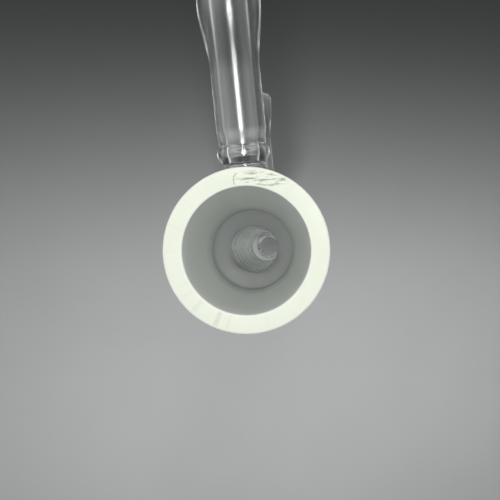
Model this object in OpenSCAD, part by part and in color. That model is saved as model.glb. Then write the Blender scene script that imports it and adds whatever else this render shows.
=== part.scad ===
// Allihn condenser in clear borosilicate glass, with 24/40 joints and a water jacket.
// Z is the condenser's axis, up. Z = 0 is the 24 mm gauge plane of the lower cone.
// Both hose arms point along +Y.

/* [Cooling jacket] */
// Length between the two ring seals
jacket_len = 300; // [290:10:340]
// Outer diameter of the jacket
jacket_d = 34; // [33:1:38]
// Glass wall of the jacket
jacket_wall = 1.8; // [1.4:0.1:2.2]
// Height of the lower ring seal above the cone's gauge plane
low_seal_z = 16; // [14:1:20]

/* [Bulb tube] */
// Number of bulbs
bulb_count = 8; // [6:1:8]
// Distance from one bulb's middle to the next
bulb_pitch = 30; // [29:1:31]
// Outer diameter of a bulb
bulb_d = 26; // [24:1:27]
// Outer diameter of the necks between bulbs
neck_d = 14; // [13:1:15]
// Outer diameter of the straight stem at each end
stem_d = 21; // [20:0.5:21]
// Glass wall of the bulb tube
bulb_wall = 1.5; // [1.2:0.1:1.6]

/* [Standard taper joints] */
// Diameter of the cone at its gauge plane
joint_d = 24; // [24:0.1:24.2]
// Length of the ground zone of both joints
ground_len = 40; // [38:1:42]
// Taper, as the loss of diameter over the length
taper = 0.1; // [0.1:0.001:0.102]
// Diameter of the socket's mouth
mouth_d = 24.3; // [24.2:0.1:24.5]
// Outer diameter of the socket's thick flat rim
rim_d = 31.6; // [30.5:0.1:32]
// Height of the thick rim, down to the socket's body
rim_h = 7; // [5:0.5:9]
// Outer diameter of the socket's body
socket_d = 28.4; // [27.5:0.1:29]
// Length of plain tube under the socket's ground zone
socket_stem = 6; // [5:0.5:8]
// Outer diameter of the plain tube between a joint and its ring seal
joint_tube_d = 22; // [22:0.1:22.4]
// Glass wall of that plain tube
joint_wall = 1.5; // [1.3:0.1:1.7]
// Glass wall of the ground cone
cone_wall = 2; // [1.8:0.1:2.2]

/* [Drip tip] */
// Length of the drip tip below the cone
tip_len = 28; // [24:1:32]
// Outer diameter of the drip tip
tip_d = 11; // [10:0.5:12]
// Bore of the drip tip
tip_bore = 8; // [7:0.5:8]
// Slope of its cut end, from level
tip_slope = 40; // [30:1:45]

/* [Hose arms] */
// Distance of the upper arm below the upper ring seal
upper_arm_drop = 16; // [16:1:20]
// Height of the lower arm above the lower ring seal
lower_arm_rise = 30; // [16:1:34]
// Distance of an arm's tip from the condenser's axis
arm_reach = 60; // [58:1:66]
// Outer diameter of an arm's tube
arm_d = 11.4; // [10.8:0.1:11.6]
// Bore of an arm
arm_bore = 8; // [7.4:0.1:8]
// Outer diameter of the glass bead where an arm is sealed on
bead_d = 11.8; // [11.8:0.1:12.4]
// Outer diameter of the swelling at an arm's end, which grips the hose
olive_d = 14.7; // [14:0.1:15.4]
// Bore through the jacket and the bead
port_bore = 7; // [6.6:0.1:7.2]

/* [Hidden] */
$fn = 96;
clear_glass = [0.80, 0.90, 0.86, 0.45];
ground_glass = [0.88, 0.93, 0.86, 0.95];

steps = 10;                 // straight pieces in each bend of an outline
edge = 0.35;                // small bevel on ground edges
jacket_r = jacket_d / 2;
bulb_r = bulb_d / 2;
neck_r = neck_d / 2;
stem_r = stem_d / 2;
joint_tube_r = joint_tube_d / 2;
joint_bore_r = joint_tube_r - joint_wall;

// Heights of the seals, the rim and the arms
high_seal_z = low_seal_z + jacket_len;
mid_z = (low_seal_z + high_seal_z) / 2;
ground_top_z = high_seal_z + socket_stem;
rim_z = ground_top_z + ground_len;
upper_arm_z = high_seal_z - upper_arm_drop;
lower_arm_z = low_seal_z + lower_arm_rise;

// The jacket's end is a round shoulder, cut where the ring seal begins
shoulder_r = 7;
shoulder_mid_r = jacket_r - shoulder_r;
seal_gap = 2;               // from the plain tube out to the end of the shoulder
seal_outer_r = joint_tube_r + seal_gap;
shoulder_turn = acos((seal_outer_r - shoulder_mid_r) / shoulder_r);
seal_fillet = 2.6;          // height of the fillet outside the ring seal
shoulder_z = seal_fillet + shoulder_r * sin(shoulder_turn);   // seal line to the start of the shoulder
stem_end = shoulder_z - 4;  // seal line to the end of the bulb tube
stem_flare = 12;            // length over which a stem narrows to the first neck

// The necks between bulbs are arcs that meet the round bulbs without a corner
half_pitch = bulb_pitch / 2;
neck_bend_r = (neck_r * neck_r + half_pitch * half_pitch - bulb_r * bulb_r) / (2 * (bulb_r - neck_r));
neck_turn = atan2(half_pitch, neck_r + neck_bend_r);
bulbs_low_z = mid_z - bulb_count * half_pitch;
bulbs_high_z = mid_z + bulb_count * half_pitch;

// An arm, measured along Y from the condenser's axis
bead_start = jacket_r + 2;
bead_end = jacket_r + 7;
neck_gap_d = 9.2;           // thin neck between the jacket and the bead
foot_d = 13;                // where the arm's foot spreads on the jacket
grip_start = arm_reach - 4; // the widest part, which is a short cylinder
grip_end = arm_reach - 2.4;
swell_len = 15;             // length over which an arm's tube swells to its widest part
tip_edge_d = 10.6;

function arc(r0, z0, r, from, to) =
    [for (i = [0:steps]) let (a = from + (to - from) * i / steps) [r0 + r * cos(a), z0 + r * sin(a)]];

// A soft bend from one radius to another
function ease(r0, z0, r1, z1) =
    [for (i = [0:steps]) [r0 + (r1 - r0) * (1 - cos(180 * i / steps)) / 2, z0 + (z1 - z0) * i / steps]];

function reversed(points) = [for (i = [len(points) - 1:-1:0]) points[i]];

// Height in the condenser of a distance from a seal line, into the jacket
function inside(side, distance) = side > 0 ? high_seal_z - distance : low_seal_z + distance;

module socket_joint() {
    mouth_r = mouth_d / 2;
    rim_r = rim_d / 2;
    throat_r = mouth_r - taper * ground_len / 2;
    color(ground_glass)
    rotate_extrude()
    polygon(concat(
        [[joint_bore_r, high_seal_z], [joint_tube_r, high_seal_z]],
        ease(joint_tube_r, high_seal_z + 1, socket_d / 2, ground_top_z + 3),
        ease(socket_d / 2, rim_z - rim_h - 2, rim_r, rim_z - rim_h + 2),
        [[rim_r, rim_z - 1]],
        [[rim_r - edge, rim_z], [mouth_r + edge, rim_z], [mouth_r, rim_z - edge]],
        [[throat_r, ground_top_z]]
    ));
}

// Glass that joins the jacket's shoulder, a joint's plain tube and the bulb tube.
// Its outline is that of the upper end, side 1, and the lower end mirrors it.
module ring_seal(side) {
    inner_shoulder_r = shoulder_r - jacket_wall;
    shoulder_inside_r = shoulder_mid_r + inner_shoulder_r * cos(shoulder_turn);
    shoulder_inside_z = inner_shoulder_r * sin(shoulder_turn) - shoulder_z;
    color(clear_glass)
    translate([0, 0, inside(side, 0)])
    mirror([0, 0, side > 0 ? 0 : 1])
    rotate_extrude()
    polygon(concat(
        [[joint_bore_r, 0], [joint_tube_r, 0]],
        [for (i = [1:steps]) let (t = 90 * i / steps)
            [joint_tube_r + seal_gap * (1 - cos(t)), -seal_fillet * sin(t)]],
        [[shoulder_inside_r, shoulder_inside_z]],
        [[stem_r, -stem_end], [stem_r - bulb_wall, -stem_end]]
    ));
}

module jacket_tube() {
    low = inside(-1, shoulder_z);
    high = inside(1, shoulder_z);
    inner_shoulder_r = shoulder_r - jacket_wall;
    color(clear_glass)
    difference() {
        rotate_extrude()
        polygon(concat(
            arc(shoulder_mid_r, low, shoulder_r, -shoulder_turn, 0),
            arc(shoulder_mid_r, high, shoulder_r, 0, shoulder_turn),
            arc(shoulder_mid_r, high, inner_shoulder_r, shoulder_turn, 0),
            arc(shoulder_mid_r, low, inner_shoulder_r, 0, -shoulder_turn)
        ));
        for (z = [lower_arm_z, upper_arm_z])
            translate([0, jacket_r / 2, z])
            rotate([-90, 0, 0])
            cylinder(d = port_bore, h = jacket_r);
    }
}

// One face of the string of bulbs, from the lowest neck to the highest.
// It lies in from the outer face by depth.
function bulb_outline(depth) = [
    for (i = [0:bulb_count - 1])
        let (z = bulbs_low_z + half_pitch + i * bulb_pitch)
        each concat(
            arc(neck_r + neck_bend_r, z - half_pitch, neck_bend_r + depth, 180, 180 - neck_turn),
            arc(0, z, bulb_r - depth, -neck_turn, neck_turn),
            arc(neck_r + neck_bend_r, z + half_pitch, neck_bend_r + depth, 180 + neck_turn, 180)
        )
];

module bulb_tube() {
    bore_r = stem_r - bulb_wall;
    color(clear_glass)
    rotate_extrude()
    polygon(concat(
        [[stem_r, inside(-1, stem_end)]],
        ease(stem_r, bulbs_low_z - stem_flare, neck_r, bulbs_low_z),
        bulb_outline(0),
        ease(neck_r, bulbs_high_z, stem_r, bulbs_high_z + stem_flare),
        [[stem_r, inside(1, stem_end)], [bore_r, inside(1, stem_end)]],
        reversed(ease(neck_r - bulb_wall, bulbs_high_z, bore_r, bulbs_high_z + stem_flare)),
        reversed(bulb_outline(bulb_wall)),
        reversed(ease(bore_r, bulbs_low_z - stem_flare, neck_r - bulb_wall, bulbs_low_z)),
        [[bore_r, inside(-1, stem_end)]]
    ));
}

module cone_joint() {
    gauge_r = joint_d / 2;
    end_r = gauge_r - taper * ground_len / 2;
    color(ground_glass)
    rotate_extrude()
    polygon(concat(
        [[end_r - cone_wall, -ground_len], [end_r, -ground_len], [gauge_r, 0]],
        reversed(ease(joint_tube_r, 7, gauge_r, 1)),
        [[joint_tube_r, low_seal_z], [joint_bore_r, low_seal_z]],
        reversed(ease(gauge_r - cone_wall, 0, joint_bore_r, low_seal_z - 4))
    ));
}

module drip_tip() {
    cone_end_r = joint_d / 2 - taper * ground_len / 2;
    neck_z = -ground_len - 8;
    end_z = -ground_len - tip_len;
    tip_r = tip_d / 2;
    color(clear_glass)
    difference() {
        rotate_extrude()
        polygon(concat(
            reversed(ease(tip_r, neck_z, cone_end_r, -ground_len)),
            [[tip_r, end_z], [tip_bore / 2, end_z]],
            ease(tip_bore / 2, neck_z - 1, cone_end_r - cone_wall, -ground_len)
        ));
        translate([0, -tip_r, end_z])
        rotate([tip_slope, 0, 0])
        translate([-tip_d, 0, -tip_d])
        cube([2 * tip_d, 3 * tip_d, tip_d]);
    }
}

// Turns an outline of [radius, distance from the condenser's axis] about an arm's own axis
module around_arm(z) {
    translate([0, 0, z])
    rotate([-90, 0, 0])
    rotate_extrude()
    children();
}

// The arm's foot on the jacket, a thin neck and a round bead
module arm_seal(z) {
    port_r = port_bore / 2;
    bead_mid = (bead_start + bead_end) / 2;
    color(clear_glass)
    difference() {
        around_arm(z)
        polygon(concat(
            [[port_r, jacket_r - 4], [foot_d / 2, jacket_r - 4]],
            ease(foot_d / 2, jacket_r - 1, neck_gap_d / 2, bead_start),
            ease(neck_gap_d / 2, bead_start, bead_d / 2, bead_mid),
            ease(bead_d / 2, bead_mid + 1, arm_d / 2 - 0.3, bead_end),
            [[port_r, bead_end]]
        ));
        translate([0, 0, z - foot_d])
        cylinder(r = jacket_r, h = 2 * foot_d);
    }
}

// A straight hose arm that swells towards its rounded tip
module hose_arm(z) {
    arm_r = arm_d / 2;
    olive_r = olive_d / 2;
    bore_r = arm_bore / 2;
    tip_edge_r = tip_edge_d / 2;
    round_len = arm_reach - grip_end;
    color(clear_glass)
    around_arm(z)
    polygon(concat(
        [[port_bore / 2, bead_end]],
        ease(arm_r - 0.3, bead_end, arm_r, bead_end + 4),
        ease(arm_r, grip_start - swell_len, olive_r, grip_start),
        [[olive_r, grip_end]],
        [for (i = [1:steps]) let (t = 90 * i / steps)
            [tip_edge_r + (olive_r - tip_edge_r) * cos(t), grip_end + round_len * sin(t)]],
        [[bore_r, arm_reach]],
        reversed(ease(port_bore / 2, bead_end + 0.5, bore_r, bead_end + 4))
    ));
}

socket_joint();
ring_seal(1);  // upper_ring_seal
jacket_tube();
bulb_tube();
ring_seal(-1);  // lower_ring_seal
cone_joint();
drip_tip();
arm_seal(upper_arm_z);  // upper_arm_seal
hose_arm(upper_arm_z);  // upper_hose_arm
arm_seal(lower_arm_z);  // lower_arm_seal
hose_arm(lower_arm_z);  // lower_hose_arm
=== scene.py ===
import math

import bmesh
import bpy
from mathutils import Matrix, Vector


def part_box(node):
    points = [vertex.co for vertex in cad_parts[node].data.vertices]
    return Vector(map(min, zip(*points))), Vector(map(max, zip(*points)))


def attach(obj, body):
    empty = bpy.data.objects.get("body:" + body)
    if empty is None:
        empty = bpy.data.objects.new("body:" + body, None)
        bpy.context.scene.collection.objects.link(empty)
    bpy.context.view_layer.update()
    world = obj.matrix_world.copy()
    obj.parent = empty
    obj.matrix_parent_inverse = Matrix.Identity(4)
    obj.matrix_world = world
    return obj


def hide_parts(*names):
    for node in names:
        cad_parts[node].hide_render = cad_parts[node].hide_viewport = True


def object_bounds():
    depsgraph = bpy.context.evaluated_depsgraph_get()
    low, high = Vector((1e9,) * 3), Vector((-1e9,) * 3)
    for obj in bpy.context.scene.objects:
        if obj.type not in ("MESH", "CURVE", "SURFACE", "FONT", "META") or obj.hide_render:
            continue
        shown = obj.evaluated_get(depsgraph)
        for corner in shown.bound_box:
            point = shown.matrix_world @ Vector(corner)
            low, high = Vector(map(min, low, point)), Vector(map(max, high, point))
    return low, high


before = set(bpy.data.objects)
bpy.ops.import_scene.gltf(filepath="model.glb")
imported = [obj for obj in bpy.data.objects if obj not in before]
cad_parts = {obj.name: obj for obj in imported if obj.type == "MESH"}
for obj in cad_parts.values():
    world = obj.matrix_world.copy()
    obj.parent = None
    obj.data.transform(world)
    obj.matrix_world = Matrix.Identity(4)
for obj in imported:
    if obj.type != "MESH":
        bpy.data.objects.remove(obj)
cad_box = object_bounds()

# The string of bulbs: one length of clear borosilicate tube, blown out into eight bulbs between narrow
# necks, with a straight stem left at each end. It is the inner tube, in which the vapour condenses.
MM = 0.001
SMOOTH_UP_TO = math.radians(28)
GAP = 0.02                      # kept between two pieces where they are melted together
MELTED = 1                      # material slot of the faces there
GLASS_BENDS = 1.474             # refractive index of borosilicate glass
condenser = bpy.data.collections.new("condenser")
bpy.context.scene.collection.children.link(condenser)


def arc(mid_r, mid_z, radius, start, end, steps=12):
    angles = [math.radians(start + (end - start) * i / steps) for i in range(steps + 1)]
    return [(mid_r + radius * math.cos(a), mid_z + radius * math.sin(a)) for a in angles]


def ease(start, end, steps=14):
    (r0, z0), (r1, z1) = start, end
    turns = [i / steps for i in range(steps + 1)]
    return [(r0 + (r1 - r0) * (1 - math.cos(math.pi * t)) / 2, z0 + (z1 - z0) * t) for t in turns]


def turn_glass(outline, melted=(), steps=144):
    """A closed wall of glass, turned from the outline of its section in millimetres.
    melted lists the corners at which a face begins that is melted to the next piece."""
    bm = bmesh.new()
    corners = [bm.verts.new((r * MM, 0, z * MM)) for r, z in outline]
    sides = [bm.edges.new(pair) for pair in zip(corners, corners[1:] + corners[:1])]
    bmesh.ops.spin(
        bm, geom=corners + sides, cent=(0, 0, 0), axis=(0, 0, 1), angle=math.tau, steps=steps, use_merge=True
    )
    bmesh.ops.remove_doubles(bm, verts=bm.verts, dist=1e-7)
    bmesh.ops.recalc_face_normals(bm, faces=bm.faces)
    for corner in melted:
        ends = (outline[corner], outline[(corner + 1) % len(outline)])
        for face in bm.faces:
            spots = [(math.hypot(vert.co.x, vert.co.y) / MM, vert.co.z / MM) for vert in face.verts]
            if all(min(math.dist(spot, end) for end in ends) < GAP / 2 for spot in spots):
                face.material_index = MELTED
    return bm


def finish_glass(bm, name, materials, pick=None):
    for face in bm.faces:
        face.smooth = True
        if pick and face.material_index != MELTED:
            face.material_index = pick(face)
    for edge in bm.edges:
        edge.smooth = len(edge.link_faces) == 2 and edge.calc_face_angle() < SMOOTH_UP_TO
    mesh = bpy.data.meshes.new(name)
    bm.to_mesh(mesh)
    bm.free()
    for material in [materials[0], melted_glass] + materials[1:]:
        mesh.materials.append(material)
    piece = bpy.data.objects.new(name, mesh)
    condenser.objects.link(piece)
    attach(piece, "root")
    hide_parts(name)
    return piece


def clear_glass(name, along=(1, 1, 0.12), wave=0.10, bending=GLASS_BENDS, clean=0.0, hazy=0.09, bloom=None):
    """Drawn tube: nearly colourless, greener where it is seen edge-on, with faint draw lines and a haze.
    clean and hazy are the least and most roughness. bloom is the pair of heights between which the haze
    grows into the flame's white bloom."""
    material = bpy.data.materials.new(name)
    material.use_nodes = True
    nodes, links = material.node_tree.nodes, material.node_tree.links
    glass = nodes["Principled BSDF"]
    glass.inputs["Transmission Weight"].default_value = 1.0
    glass.inputs["IOR"].default_value = bending
    place = nodes.new("ShaderNodeTexCoord")
    stretch = nodes.new("ShaderNodeMapping")
    stretch.inputs["Scale"].default_value = along
    links.new(place.outputs["Object"], stretch.inputs["Vector"])

    edge_on = nodes.new("ShaderNodeLayerWeight")
    edge_on.inputs["Blend"].default_value = 0.25
    tint = nodes.new("ShaderNodeMix")
    tint.data_type = "RGBA"
    tint.inputs["A"].default_value = (0.985, 0.995, 0.988, 1)
    tint.inputs["B"].default_value = (0.95, 0.985, 0.955, 1)
    links.new(edge_on.outputs["Facing"], tint.inputs["Factor"])
    links.new(tint.outputs["Result"], glass.inputs["Base Color"])

    haze = nodes.new("ShaderNodeTexNoise")
    haze.inputs["Scale"].default_value = 55
    haze.inputs["Detail"].default_value = 6
    links.new(stretch.outputs["Vector"], haze.inputs["Vector"])
    rough = nodes.new("ShaderNodeMapRange")
    rough.inputs["From Min"].default_value = 0.45
    rough.inputs["From Max"].default_value = 0.75
    rough.inputs["To Min"].default_value = clean
    rough.inputs["To Max"].default_value = hazy
    links.new(haze.outputs["Fac"], rough.inputs["Value"])
    haziness = rough.outputs["Result"]
    if bloom:
        height = nodes.new("ShaderNodeSeparateXYZ")
        links.new(place.outputs["Object"], height.inputs["Vector"])
        flamed = nodes.new("ShaderNodeMapRange")
        flamed.interpolation_type = "SMOOTHSTEP"
        flamed.inputs["From Min"].default_value = bloom[0] * MM
        flamed.inputs["From Max"].default_value = bloom[1] * MM
        flamed.inputs["To Max"].default_value = 0.42
        links.new(height.outputs["Z"], flamed.inputs["Value"])
        thicker = nodes.new("ShaderNodeMath")
        thicker.operation = "MAXIMUM"
        links.new(flamed.outputs["Result"], thicker.inputs[0])
        links.new(haziness, thicker.inputs[1])
        haziness = thicker.outputs["Value"]
        milky = nodes.new("ShaderNodeMapRange")
        milky.interpolation_type = "SMOOTHSTEP"
        milky.inputs["From Min"].default_value = bloom[0] * MM
        milky.inputs["From Max"].default_value = bloom[1] * MM
        milky.inputs["To Min"].default_value = 1.0
        milky.inputs["To Max"].default_value = 0.6
        links.new(height.outputs["Z"], milky.inputs["Value"])
        links.new(milky.outputs["Result"], glass.inputs["Transmission Weight"])
    links.new(haziness, glass.inputs["Roughness"])

    draw = nodes.new("ShaderNodeTexNoise")
    draw.inputs["Scale"].default_value = 130
    draw.inputs["Detail"].default_value = 2
    links.new(stretch.outputs["Vector"], draw.inputs["Vector"])
    bump = nodes.new("ShaderNodeBump")
    bump.inputs["Strength"].default_value = wave
    bump.inputs["Distance"].default_value = 0.6 * MM
    links.new(draw.outputs["Fac"], bump.inputs["Height"])
    links.new(bump.outputs["Normal"], glass.inputs["Normal"])
    return material


BULBS = 8
WALL = 1.5
NECK = 7.0
BULB = 13.0
STEM = 10.5
FLARE = 12.0                    # length over which a stem narrows to its first neck
tube_low, tube_high = (corner[2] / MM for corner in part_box("bulb_tube"))
pitch = 30.0
bulbs_low = (tube_low + tube_high) / 2 - BULBS * pitch / 2
bulbs_high = (tube_low + tube_high) / 2 + BULBS * pitch / 2


def bulb_face(depth):
    points = []
    for i in range(BULBS):
        bulb = BULB - 0.22 * (1 + math.sin(2.4 * i))
        bend = (NECK ** 2 + (pitch / 2) ** 2 - bulb ** 2) / (2 * (bulb - NECK))
        lean = math.degrees(math.atan2(pitch / 2, NECK + bend))
        mid = bulbs_low + pitch * (i + 0.5)
        points += arc(NECK + bend, mid - pitch / 2, bend + depth, 180, 180 - lean, 7)[:-1]
        points += arc(0, mid, bulb - depth, -lean, lean, 16)
        points += arc(NECK + bend, mid + pitch / 2, bend + depth, 180 + lean, 180, 7)[1:-1]
    return points + [(NECK - depth, bulbs_high)]


outside = [(STEM, tube_low + GAP)] + ease((STEM, bulbs_low - FLARE), (NECK, bulbs_low))[:-1]
outside += bulb_face(0)
outside += ease((NECK, bulbs_high), (STEM, bulbs_high + FLARE))[1:] + [(STEM, tube_high - GAP)]
bore = [(STEM - WALL, tube_low + GAP)]
bore += ease((STEM - WALL, bulbs_low - FLARE), (NECK - WALL, bulbs_low))[:-1]
bore += bulb_face(WALL)
bore += ease((NECK - WALL, bulbs_high), (STEM - WALL, bulbs_high + FLARE))[1:]
bore += [(STEM - WALL, tube_high - GAP)]
melted_glass = clear_glass("melted_glass", wave=0, bending=1.0)
bulb_glass = clear_glass("blown_glass", along=(1, 1, 0.6), wave=0.16, bloom=(bulbs_high - 18, bulbs_high + 2))
bulb_wall = turn_glass(outside + bore[::-1], melted=(len(outside) - 1, len(outside + bore) - 1), steps=112)
bulb_tube = finish_glass(bulb_wall, "bulb_tube", [bulb_glass])


# The cooling jacket: a wide clear tube round the bulbs, drawn in to a round shoulder at each end. The
# water goes in and out through a small port under each hose arm.
JACKET_WALL = 1.8
SHOULDER = 7.0
PORT = 7.0                      # bore of each port
jacket_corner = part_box("jacket_tube")
jacket_r = jacket_corner[1][0] / MM
shoulder_mid = jacket_r - SHOULDER
seal_r = 13.0                   # where the shoulders end and the ring seals begin
turn_in = math.degrees(math.acos((seal_r - shoulder_mid) / SHOULDER))
shoulder_rise = SHOULDER * math.sin(math.radians(turn_in))
jacket_low = jacket_corner[0][2] / MM + shoulder_rise
jacket_high = jacket_corner[1][2] / MM - shoulder_rise
shrink = 0.1                    # degrees left off each shoulder, so that it doesn't touch the seal
outline = arc(shoulder_mid, jacket_low, SHOULDER, shrink - turn_in, 0, 18)
outline += arc(shoulder_mid, jacket_high, SHOULDER, 0, turn_in - shrink, 18)
outline += arc(shoulder_mid, jacket_high, SHOULDER - JACKET_WALL, turn_in - shrink, 0, 18)
outline += arc(shoulder_mid, jacket_low, SHOULDER - JACKET_WALL, 0, shrink - turn_in, 18)
arm_names = ("lower_hose_arm", "upper_hose_arm")
arm_heights = [sum(corner[2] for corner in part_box(arm)) / 2 / MM for arm in arm_names]
tube_glass = clear_glass("drawn_glass")
jacket_ends = (len(outline) // 2 - 1, len(outline) - 1)
jacket = finish_glass(turn_glass(outline, melted=jacket_ends, steps=192), "jacket_tube", [tube_glass])
for height in arm_heights:
    drill = bmesh.new()
    bmesh.ops.create_cone(
        drill, cap_ends=True, segments=96, radius1=PORT / 2 * MM, radius2=PORT / 2 * MM, depth=jacket_r * MM,
        matrix=Matrix.Translation((0, jacket_r * MM, height * MM)) @ Matrix.Rotation(math.pi / 2, 4, "X"),
    )
    drill_mesh = bpy.data.meshes.new("drill")
    drill.to_mesh(drill_mesh)
    drill.free()
    drill_object = bpy.data.objects.new("drill", drill_mesh)
    bpy.context.scene.collection.objects.link(drill_object)
    cut = jacket.modifiers.new("port", "BOOLEAN")
    cut.object = drill_object
    cut.solver = "EXACT"
    bpy.context.view_layer.objects.active = jacket
    bpy.ops.object.modifier_apply(modifier=cut.name)
    bpy.data.objects.remove(drill_object)


# The two ring seals: glass melted together where the jacket's shoulder, the bulb tube and a joint's plain
# tube meet. Outside, each shows as a small soft fillet.
JOINT_TUBE = 11.0
JOINT_BORE = 9.5
SEAL_FILLET = 2.6
seal_glass = clear_glass("seal_glass", along=(1, 1, 1), wave=0.2, bloom=(tube_high - 60, tube_high - 10))


def ring_seal(name, line, side):
    """line is where the joint begins, and side is 1 at the top and -1 at the bottom."""
    gap = GAP * side
    shoulder_z = jacket_high if side > 0 else jacket_low
    inner = SHOULDER - JACKET_WALL
    inner_r = shoulder_mid + inner * math.cos(math.radians(turn_in))
    inner_z = shoulder_z + side * inner * math.sin(math.radians(turn_in))
    seal_z = line - side * SEAL_FILLET
    stem_z = tube_high if side > 0 else tube_low
    fillet = [math.radians(90 * i / 10) for i in range(11)]
    points = [(JOINT_BORE, line - gap)]
    points += [
        (
            JOINT_TUBE + (seal_r - JOINT_TUBE) * (1 - math.cos(a)),
            line - gap - (line - gap - seal_z) * math.sin(a),
        )
        for a in fillet
    ]
    points += [(inner_r, inner_z), (STEM, stem_z + gap), (STEM - WALL, stem_z + gap)]
    to_joint, to_jacket, to_stem = 0, len(fillet), len(fillet) + 2
    piece = finish_glass(turn_glass(points, melted=(to_joint, to_jacket, to_stem)), name, [seal_glass])


socket_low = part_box("socket_joint")[0][2] / MM
cone_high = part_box("cone_joint")[1][2] / MM
ring_seal("upper_ring_seal", socket_low, 1)
ring_seal("lower_ring_seal", cone_high, -1)


# The socket: a heavy ground taper with a thick rim, so that a cone or a stopper seats in it. Its taper is
# ground with fine grit and its end is lapped flat, which leaves both frosted. The bore below the taper is
# hazy from the flame, and the outside is fire-polished and clear.
GROUND = 40.0
TAPER = 0.05                    # loss of radius over length
MOUTH = 12.15
EDGE = 0.35
socket_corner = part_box("socket_joint")
rim_r = socket_corner[1][0] / MM
rim_z = socket_corner[1][2] / MM
SOCKET_BODY = 14.2
RIM_HEIGHT = 7.0
ground_end = rim_z - GROUND
throat = MOUTH - TAPER * GROUND


def ground_glass(name, colour, clearness, rough_from, rough_to, grain=2600):
    """Glass frosted by grinding: white and satiny, slightly clouded, with the grit's fine grain."""
    material = bpy.data.materials.new(name)
    material.use_nodes = True
    nodes, links = material.node_tree.nodes, material.node_tree.links
    glass = nodes["Principled BSDF"]
    glass.inputs["Transmission Weight"].default_value = clearness
    glass.inputs["IOR"].default_value = GLASS_BENDS
    place = nodes.new("ShaderNodeTexCoord")

    cloud = nodes.new("ShaderNodeTexNoise")
    cloud.inputs["Scale"].default_value = 260
    cloud.inputs["Detail"].default_value = 8
    cloud.inputs["Roughness"].default_value = 0.65
    links.new(place.outputs["Object"], cloud.inputs["Vector"])
    shade = nodes.new("ShaderNodeMix")
    shade.data_type = "RGBA"
    shade.inputs["A"].default_value = tuple(0.93 * c for c in colour) + (1,)
    shade.inputs["B"].default_value = tuple(colour) + (1,)
    links.new(cloud.outputs["Fac"], shade.inputs["Factor"])
    links.new(shade.outputs["Result"], glass.inputs["Base Color"])

    rough = nodes.new("ShaderNodeMapRange")
    rough.inputs["From Min"].default_value = 0.3
    rough.inputs["From Max"].default_value = 0.7
    rough.inputs["To Min"].default_value = rough_from
    rough.inputs["To Max"].default_value = rough_to
    links.new(cloud.outputs["Fac"], rough.inputs["Value"])
    links.new(rough.outputs["Result"], glass.inputs["Roughness"])

    grit = nodes.new("ShaderNodeTexNoise")
    grit.inputs["Scale"].default_value = grain
    grit.inputs["Detail"].default_value = 3
    links.new(place.outputs["Object"], grit.inputs["Vector"])
    bump = nodes.new("ShaderNodeBump")
    bump.inputs["Strength"].default_value = 0.25
    bump.inputs["Distance"].default_value = 0.05 * MM
    links.new(grit.outputs["Fac"], bump.inputs["Height"])
    links.new(bump.outputs["Normal"], glass.inputs["Normal"])
    return material


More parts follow.
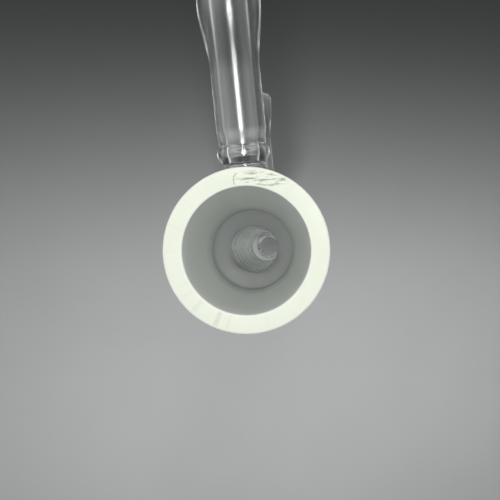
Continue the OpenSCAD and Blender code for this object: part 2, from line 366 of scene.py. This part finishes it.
def lapped_glass(name):
    """The rim's flat end: satin, nearly white, with streaks, scratches, one chip and a painted highlight
    along both edges.
    """
    material = ground_glass(name, (0.94, 0.99, 0.84), 0.12, 0.4, 0.6)
    nodes, links = material.node_tree.nodes, material.node_tree.links
    glass = nodes["Principled BSDF"]
    ground_colour = glass.inputs["Base Color"].links[0].from_socket
    place = nodes["Texture Coordinate"]

    # Streaks that run across the rim, from the bore outwards, deepest at the front left
    flat = nodes.new("ShaderNodeSeparateXYZ")
    links.new(place.outputs["Object"], flat.inputs["Vector"])
    angle = nodes.new("ShaderNodeMath")
    angle.operation = "ARCTAN2"
    links.new(flat.outputs["Y"], angle.inputs[0])
    links.new(flat.outputs["X"], angle.inputs[1])
    streak = nodes.new("ShaderNodeTexNoise")
    streak.noise_dimensions = "1D"
    streak.inputs["Scale"].default_value = 9
    streak.inputs["Detail"].default_value = 5
    links.new(angle.outputs["Value"], streak.inputs["W"])
    streak_depth = nodes.new("ShaderNodeMapRange")
    streak_depth.inputs["From Min"].default_value = 0.52
    streak_depth.inputs["From Max"].default_value = 0.75
    streak_depth.inputs["To Max"].default_value = 0.22
    links.new(streak.outputs["Fac"], streak_depth.inputs["Value"])
    turned_away = nodes.new("ShaderNodeMath")
    turned_away.operation = "ADD"
    turned_away.inputs[1].default_value = math.radians(120)
    links.new(angle.outputs["Value"], turned_away.inputs[0])
    off_middle = nodes.new("ShaderNodeMath")
    off_middle.operation = "ABSOLUTE"
    links.new(turned_away.outputs["Value"], off_middle.inputs[0])
    streaky = nodes.new("ShaderNodeMapRange")
    streaky.inputs["From Min"].default_value = math.radians(18)
    streaky.inputs["From Max"].default_value = math.radians(34)
    streaky.inputs["To Min"].default_value = 1.0
    streaky.inputs["To Max"].default_value = 0.18
    links.new(off_middle.outputs["Value"], streaky.inputs["Value"])
    streaks = nodes.new("ShaderNodeMath")
    streaks.operation = "MULTIPLY"
    links.new(streak_depth.outputs["Result"], streaks.inputs[0])
    links.new(streaky.outputs["Result"], streaks.inputs[1])

    # Long scratches beside one chip at the back of the rim
    scratch_x, scratch_y = 4.4, 13.1
    turned = nodes.new("ShaderNodeMapping")
    turned.inputs["Location"].default_value = (-scratch_x * MM, -scratch_y * MM, 0)
    links.new(place.outputs["Object"], turned.inputs["Vector"])
    patch = nodes.new("ShaderNodeMapping")
    patch.inputs["Rotation"].default_value = (0, 0, math.radians(22))
    patch.inputs["Scale"].default_value = (1 / 6.5, 1 / 2.2, 0)
    links.new(turned.outputs["Vector"], patch.inputs["Vector"])
    near = nodes.new("ShaderNodeVectorMath")
    near.operation = "LENGTH"
    links.new(patch.outputs["Vector"], near.inputs[0])
    fade = nodes.new("ShaderNodeMapRange")
    fade.inputs["From Min"].default_value = 0.6 * MM
    fade.inputs["From Max"].default_value = 1.0 * MM
    fade.inputs["To Min"].default_value = 1.0
    fade.inputs["To Max"].default_value = 0.0
    links.new(near.outputs["Value"], fade.inputs["Value"])
    along = nodes.new("ShaderNodeMapping")
    along.inputs["Rotation"].default_value = (0, 0, math.radians(14))
    along.inputs["Scale"].default_value = (0.13, 1, 0)
    links.new(turned.outputs["Vector"], along.inputs["Vector"])
    scratch = nodes.new("ShaderNodeTexNoise")
    scratch.inputs["Scale"].default_value = 2200
    scratch.inputs["Detail"].default_value = 6
    scratch.inputs["Roughness"].default_value = 0.6
    links.new(along.outputs["Vector"], scratch.inputs["Vector"])
    cut = nodes.new("ShaderNodeMapRange")
    cut.inputs["From Min"].default_value = 0.51
    cut.inputs["From Max"].default_value = 0.58
    links.new(scratch.outputs["Fac"], cut.inputs["Value"])
    scratched = nodes.new("ShaderNodeMath")
    scratched.operation = "MULTIPLY"
    links.new(cut.outputs["Result"], scratched.inputs[0])
    links.new(fade.outputs["Result"], scratched.inputs[1])

    # The chip is a shell-shaped bite: only its curved edge shows
    chip_x, chip_y = -0.3, 13.3
    bite = nodes.new("ShaderNodeMapping")
    bite.inputs["Location"].default_value = (-chip_x * MM, -chip_y * MM, 0)
    bite.inputs["Scale"].default_value = (1.5, 1, 0)
    links.new(place.outputs["Object"], bite.inputs["Vector"])
    bite_reach = nodes.new("ShaderNodeVectorMath")
    bite_reach.operation = "LENGTH"
    links.new(bite.outputs["Vector"], bite_reach.inputs[0])
    bite_edge = nodes.new("ShaderNodeMath")
    bite_edge.operation = "COMPARE"
    bite_edge.inputs[1].default_value = 1.35 * MM
    bite_edge.inputs[2].default_value = 0.14 * MM
    links.new(bite_reach.outputs["Value"], bite_edge.inputs[0])
    bite_side = nodes.new("ShaderNodeSeparateXYZ")
    links.new(bite.outputs["Vector"], bite_side.inputs["Vector"])
    left_half = nodes.new("ShaderNodeMapRange")
    left_half.inputs["From Min"].default_value = -0.9 * MM
    left_half.inputs["From Max"].default_value = 0.3 * MM
    left_half.inputs["To Min"].default_value = 0.8
    left_half.inputs["To Max"].default_value = 0.0
    links.new(bite_side.outputs["X"], left_half.inputs["Value"])
    chipped = nodes.new("ShaderNodeMath")
    chipped.operation = "MULTIPLY"
    links.new(bite_edge.outputs["Value"], chipped.inputs[0])
    links.new(left_half.outputs["Result"], chipped.inputs[1])

    marked = nodes.new("ShaderNodeMath")
    marked.operation = "MAXIMUM"
    links.new(scratched.outputs["Value"], marked.inputs[0])
    links.new(chipped.outputs["Value"], marked.inputs[1])
    worn = nodes.new("ShaderNodeMath")
    worn.operation = "MAXIMUM"
    links.new(marked.outputs["Value"], worn.inputs[0])
    links.new(streaks.outputs["Value"], worn.inputs[1])
    dark = nodes.new("ShaderNodeMix")
    dark.data_type = "RGBA"
    dark.inputs["B"].default_value = (0.34, 0.42, 0.32, 1)
    links.new(worn.outputs["Value"], dark.inputs["Factor"])
    links.new(ground_colour, dark.inputs["A"])

    # The two edges are broken with a stone; a painted highlight whitens the colour in a narrow band along
    # both of them
    radius = nodes.new("ShaderNodeVectorMath")
    radius.operation = "LENGTH"
    level = nodes.new("ShaderNodeMapping")
    level.inputs["Scale"].default_value = (1, 1, 0)
    links.new(place.outputs["Object"], level.inputs["Vector"])
    links.new(level.outputs["Vector"], radius.inputs[0])
    from_middle = nodes.new("ShaderNodeMath")
    from_middle.operation = "SUBTRACT"
    from_middle.inputs[1].default_value = (MOUTH + rim_r) / 2 * MM
    links.new(radius.outputs["Value"], from_middle.inputs[0])
    apart = nodes.new("ShaderNodeMath")
    apart.operation = "ABSOLUTE"
    links.new(from_middle.outputs["Value"], apart.inputs[0])
    painted_highlight_at_edges = nodes.new("ShaderNodeMapRange")
    painted_highlight_at_edges.inputs["From Min"].default_value = ((rim_r - MOUTH) / 2 - 0.55) * MM
    painted_highlight_at_edges.inputs["From Max"].default_value = ((rim_r - MOUTH) / 2 - 0.25) * MM
    links.new(apart.outputs["Value"], painted_highlight_at_edges.inputs["Value"])
    # Mixes the painted highlight's near-white colour into the rim at both edges
    edge = nodes.new("ShaderNodeMix")
    edge.data_type = "RGBA"
    edge.inputs["B"].default_value = (1.0, 1.0, 0.93, 1)
    links.new(painted_highlight_at_edges.outputs["Result"], edge.inputs["Factor"])
    links.new(dark.outputs["Result"], edge.inputs["A"])
    links.new(edge.outputs["Result"], glass.inputs["Base Color"])
    return material


def socket_finish(face):
    """0 clear, 2 ground taper and the hazy bore below it, 3 lapped rim with its two edges."""
    middle = face.calc_center_median()
    radius = math.hypot(middle.x, middle.y) / MM
    height = middle.z / MM
    if height > rim_z - 0.45:
        return 3
    inner_wall = radius < (MOUTH if height > ground_end else (JOINT_BORE + JOINT_TUBE) / 2)
    return 2 if inner_wall else 0


outline = [(JOINT_BORE, socket_low + GAP), (JOINT_TUBE, socket_low + GAP)]
outline += ease((JOINT_TUBE, socket_low + 1), (SOCKET_BODY, ground_end + 3))
outline += ease((SOCKET_BODY, rim_z - RIM_HEIGHT - 2), (rim_r, rim_z - RIM_HEIGHT + 2))
outline += arc(rim_r - 0.45, rim_z - 0.45, 0.45, 0, 90, 8)
outline += arc(MOUTH + EDGE, rim_z - EDGE, EDGE, 90, 180, 6)
outline += [(throat, ground_end), (throat - 0.15, ground_end - 1.2)]
socket_glass = clear_glass("socket_glass")
frosted = ground_glass("ground_taper", (0.95, 0.98, 0.94), 0.35, 0.4, 0.55)
lapped = lapped_glass("lapped_rim")
socket_wall = turn_glass(outline, melted=(0,), steps=192)
socket = finish_glass(socket_wall, "socket_joint", [socket_glass, frosted, lapped], socket_finish)


# The cone: a ground taper that seats in a flask's neck, with a plain tube above it. Only the outside of the
# taper is frosted, and the rest is clear.
CONE_WALL = 2.0
GAUGE = 12.0
cone_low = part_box("cone_joint")[0][2] / MM
cone_end = GAUGE + TAPER * cone_low


def cone_finish(face):
    middle = face.calc_center_median()
    radius = math.hypot(middle.x, middle.y) / MM
    height = middle.z / MM
    return 2 if height < 0.01 and radius > cone_end - 0.2 else 0


outline = [(cone_end - CONE_WALL, cone_low + GAP), (cone_end, cone_low + GAP), (GAUGE, 0)]
outline += ease((GAUGE, 1), (JOINT_TUBE, 7))
cone_ends = (0, len(outline))
outline += [(JOINT_TUBE, cone_high - GAP), (JOINT_BORE, cone_high - GAP)]
outline += ease((JOINT_BORE, cone_high - 4), (GAUGE - CONE_WALL, 0))
cone = finish_glass(turn_glass(outline, melted=cone_ends), "cone_joint", [socket_glass, frosted], cone_finish)


# The drip tip: a narrow clear tube, drawn down from the end of the cone and melted to it. It is cut on the
# slant, so that drops leave from one point.
TIP = 5.5
TIP_BORE = 4.0
TIP_SLOPE = math.radians(40)
tip_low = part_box("drip_tip")[0][2] / MM
tip_neck = cone_low - 8
outline = [(TIP, tip_low), (TIP_BORE, tip_low)]
outline += ease((TIP_BORE, tip_neck - 1), (cone_end - CONE_WALL, cone_low - GAP))
to_cone = len(outline) - 1
outline += ease((TIP, tip_neck), (cone_end, cone_low - GAP))[::-1]
bm = turn_glass(outline, melted=(to_cone,), steps=112)
bmesh.ops.bisect_plane(
    bm, geom=bm.verts[:] + bm.edges[:] + bm.faces[:], dist=1e-7, plane_co=(0, -TIP * MM, tip_low * MM),
    plane_no=(0, math.sin(TIP_SLOPE), -math.cos(TIP_SLOPE)), clear_outer=True,
)
cut_edges = [edge for edge in bm.edges if edge.is_boundary]
bmesh.ops.bridge_loops(bm, edges=cut_edges)
bmesh.ops.recalc_face_normals(bm, faces=bm.faces)
drip_tip = finish_glass(bm, "drip_tip", [tube_glass])


# The two hose arms: each is a short straight tube that swells to a rounded tip, over which the water hose
# is pushed. A bead of melted glass joins it to the jacket.
ARM = 5.7
ARM_BORE = 4.0
SWELL = 15.0                    # length over which the tube swells to its widest part
arm_glass = clear_glass("arm_glass", along=(1, 0.12, 1), clean=0.10, hazy=0.24)
bead_glass = clear_glass("bead_glass", along=(1, 1, 1), wave=0.25, clean=0.05, hazy=0.16)
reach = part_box("upper_hose_arm")[1][1] / MM
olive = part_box("upper_hose_arm")[1][0] / MM
bead_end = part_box("upper_arm_seal")[1][1] / MM
bead_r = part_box("upper_arm_seal")[1][2] / MM - arm_heights[1]


def lay_along_y(bm, height):
    """The outline was turned about Z. The arm lies along Y, at its height."""
    lay_down = Matrix.Translation((0, 0, height * MM)) @ Matrix.Rotation(-math.pi / 2, 4, "X")
    bmesh.ops.transform(bm, matrix=lay_down, verts=bm.verts)


def arm_seal(name, height):
    foot = bead_end - 5.0
    middle = (foot + bead_end) / 2
    outline = [(PORT / 2, jacket_r - 0.6), (6.2, jacket_r - 1.0)]
    outline += ease((6.2, jacket_r - 0.9), (4.6, foot))
    outline += ease((4.6, foot), (bead_r, middle))[1:]
    outline += ease((bead_r, middle + 1), (ARM - 0.3, bead_end - GAP))
    to_arm = len(outline) - 1
    outline += [(PORT / 2, bead_end - GAP)]
    bm = turn_glass(outline, melted=(0, to_arm), steps=96)
    lay_along_y(bm, height)
    piece = finish_glass(bm, name, [bead_glass])


def hose_arm(name, height):
    outline = [(PORT / 2, bead_end + GAP)]
    outline += ease((ARM - 0.3, bead_end + GAP), (ARM, bead_end + 4))
    outline += ease((ARM, reach - 4 - SWELL), (olive, reach - 4))
    outline += [(olive, reach - 2.4)]
    turns = [math.radians(90 * i / 10) for i in range(1, 11)]
    outline += [(5.3 + (olive - 5.3) * math.cos(a), reach - 2.4 + 2.4 * math.sin(a)) for a in turns]
    outline += arc(4.6, reach - 0.6, 0.6, 90, 180, 6)
    outline += ease((PORT / 2, bead_end + 0.5), (ARM_BORE, bead_end + 4))[::-1]
    bm = turn_glass(outline, melted=(0,), steps=112)
    lay_along_y(bm, height)
    piece = finish_glass(bm, name, [arm_glass])


for where, height in zip(("lower", "upper"), arm_heights):
    arm_seal(where + "_arm_seal", height)
    hose_arm(where + "_hose_arm", height)


# The floor is a wide sheet of matt pale card, just below the drip tip. Painted shade darkens its colour
# towards the back.
bm = bmesh.new()
bmesh.ops.create_grid(bm, x_segments=1, y_segments=1, size=3.0)
bmesh.ops.translate(bm, verts=bm.verts, vec=(0, 0, cad_box[0][2] - 0.5 * MM))
floor_mesh = bpy.data.meshes.new("floor")
bm.to_mesh(floor_mesh)
bm.free()
card = bpy.data.materials.new("pale_card")
card.use_nodes = True
nodes, links = card.node_tree.nodes, card.node_tree.links
place = nodes.new("ShaderNodeTexCoord")
fibre = nodes.new("ShaderNodeTexNoise")
fibre.inputs["Scale"].default_value = 40
fibre.inputs["Detail"].default_value = 8
links.new(place.outputs["Object"], fibre.inputs["Vector"])
tone = nodes.new("ShaderNodeMix")
tone.data_type = "RGBA"
tone.inputs["A"].default_value = (0.58, 0.59, 0.59, 1)
tone.inputs["B"].default_value = (0.62, 0.63, 0.63, 1)
links.new(fibre.outputs["Fac"], tone.inputs["Factor"])
# Painted shade: the card's colour fades smoothly to dark grey towards the back, along a line turned by 9
# degrees
lean = nodes.new("ShaderNodeMapping")
lean.inputs["Rotation"].default_value = (0, 0, math.radians(9))
links.new(place.outputs["Object"], lean.inputs["Vector"])
across = nodes.new("ShaderNodeSeparateXYZ")
links.new(lean.outputs["Vector"], across.inputs["Vector"])
painted_shade_towards_back = nodes.new("ShaderNodeMapRange")
painted_shade_towards_back.interpolation_type = "SMOOTHSTEP"
painted_shade_towards_back.inputs["From Min"].default_value = -0.025
painted_shade_towards_back.inputs["From Max"].default_value = 0.13
links.new(across.outputs["Y"], painted_shade_towards_back.inputs["Value"])
painted_shade = nodes.new("ShaderNodeMix")
painted_shade.data_type = "RGBA"
painted_shade.inputs["B"].default_value = (0.125, 0.13, 0.13, 1)
links.new(painted_shade_towards_back.outputs["Result"], painted_shade.inputs["Factor"])
links.new(tone.outputs["Result"], painted_shade.inputs["A"])
links.new(painted_shade.outputs["Result"], nodes["Principled BSDF"].inputs["Base Color"])
nodes["Principled BSDF"].inputs["Roughness"].default_value = 0.9
floor_mesh.materials.append(card)
floor = bpy.data.objects.new("floor", floor_mesh)
bpy.context.scene.collection.objects.link(floor)


# The light: a wide lamp in front pales the floor and fades towards the back, and a weak one from the back
# right fills in the floor's middle. A soft lamp above fills the socket, and large soft boxes at both sides
# and behind draw the bright edges on the glass. Those four light the glass alone.
def lamp(name, kind, place, aim, watts, glass_only=False, wide=1.0, **settings):
    light = bpy.data.lights.new(name, kind)
    light.energy = watts
    for key, value in settings.items():
        setattr(light, key, value)
    item = bpy.data.objects.new(name, light)
    item.location = place
    item.rotation_euler = (Vector(aim) - Vector(place)).to_track_quat("-Z", "Y").to_euler()
    item.scale = (wide, 1, 1)
    bpy.context.scene.collection.objects.link(item)
    if glass_only:
        item.light_linking.receiver_collection = condenser
    return item


lamp(
    "floor_lamp", "SPOT", (0.0, -0.50, 1.00), (-0.012, -0.061, -0.07), 24, wide=2.0,
    spot_size=math.radians(13.5), spot_blend=1.0, shadow_soft_size=0.08,
)
lamp(
    "shade_lamp", "SPOT", (0.10, 0.26, 1.35), (-0.01, -0.07, -0.07), 3,
    spot_size=math.radians(11), spot_blend=1.0, shadow_soft_size=0.06,
)
lamp("key", "AREA", (0.03, 0.04, 1.00), (0, 0, 0.3), 2.4, glass_only=True, shape="DISK", size=0.25)
panels = (
    ("left", (-0.7, 0.05, 0.30), 2.0),
    ("right", (0.7, 0.10, 0.30), 1.6),
    ("back", (0.1, 0.8, 0.4), 1.6),
)
for side, place, watts in panels:
    lamp(side + "_panel", "AREA", place, (0, 0.02, 0.2), watts, glass_only=True, shape="SQUARE", size=1.0)
world = bpy.data.worlds.new("room")
bpy.context.scene.world = world
world.use_nodes = True
world.node_tree.nodes["Background"].inputs["Color"].default_value = (0.97, 1.0, 0.98, 1)
world.node_tree.nodes["Background"].inputs["Strength"].default_value = 0.28
bpy.context.scene.view_settings.view_transform = "Standard"
light_paths = bpy.context.scene.cycles          # light goes through many walls of glass here
light_paths.max_bounces = 40
light_paths.transmission_bounces = 40
light_paths.glossy_bounces = 24


# The camera looks down the condenser's axis into the socket, from a little to one side.
DISTANCE = 0.290
LENS = 111
SENSOR = 36
RING_LEFT = 0.0072              # shares of the view's width by which the ring is left of and below its middle
RING_BELOW = 0.001
camera_data = bpy.data.cameras.new("camera")
camera_data.lens = LENS
camera_data.sensor_width = SENSOR
camera_data.clip_start = 0.01
camera = bpy.data.objects.new("camera", camera_data)
ASIDE = 7.4 * MM
BACK = 1.5 * MM
roll = math.radians(-5.8)
aside = Vector((ASIDE, BACK, 0))
aside.rotate(Matrix.Rotation(roll, 3, "Z"))
camera.location = Vector((0, 0, rim_z * MM + DISTANCE)) + aside
towards = Matrix.Translation(camera.location) @ Matrix.Rotation(roll, 4, "Z")
camera.matrix_world = towards
camera_data.shift_x = RING_LEFT - ASIDE / DISTANCE * LENS / SENSOR
camera_data.shift_y = RING_BELOW - BACK / DISTANCE * LENS / SENSOR
bpy.context.scene.collection.objects.link(camera)
bpy.context.scene.camera = camera
